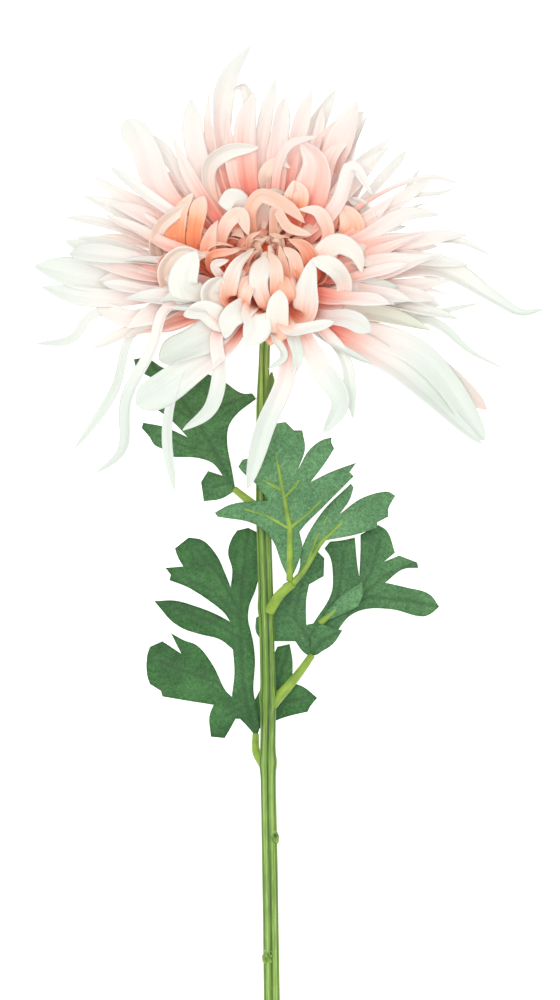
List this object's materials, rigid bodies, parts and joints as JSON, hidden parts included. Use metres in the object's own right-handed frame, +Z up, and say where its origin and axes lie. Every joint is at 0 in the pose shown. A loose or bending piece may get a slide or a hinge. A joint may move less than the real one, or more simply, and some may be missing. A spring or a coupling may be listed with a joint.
{
  "type": "spider chrysanthemum",
  "caption": "Single cut spider chrysanthemum lying on its back: shaggy pale pink head, ridged stem and lobed leaves.",
  "frame": {"origin": "middle of the part's box, on the surface that it lies on", "axes": "+Y along the stem towards the head, +Z up from the surface, +X to the flower's right seen from above"},
  "size_m": [0.183, 0.4149, 0.0887],
  "materials": {
    "petals": "soft matt woven petals, coral at the root to near white at the tip",
    "cup": "matt green bracts",
    "stem": "ridged satin green",
    "leaves": "finely woven matt green with yellow-green veins"
  },
  "bodies": {
    "root": {"bloom": "petals", "involucre": "cup", "stem": "stem", "leaf_upper_left": "leaves", "leaf_front": "leaves", "leaf_right": "leaves", "leaf_lower_left": "leaves"}
  },
  "joints": []
}
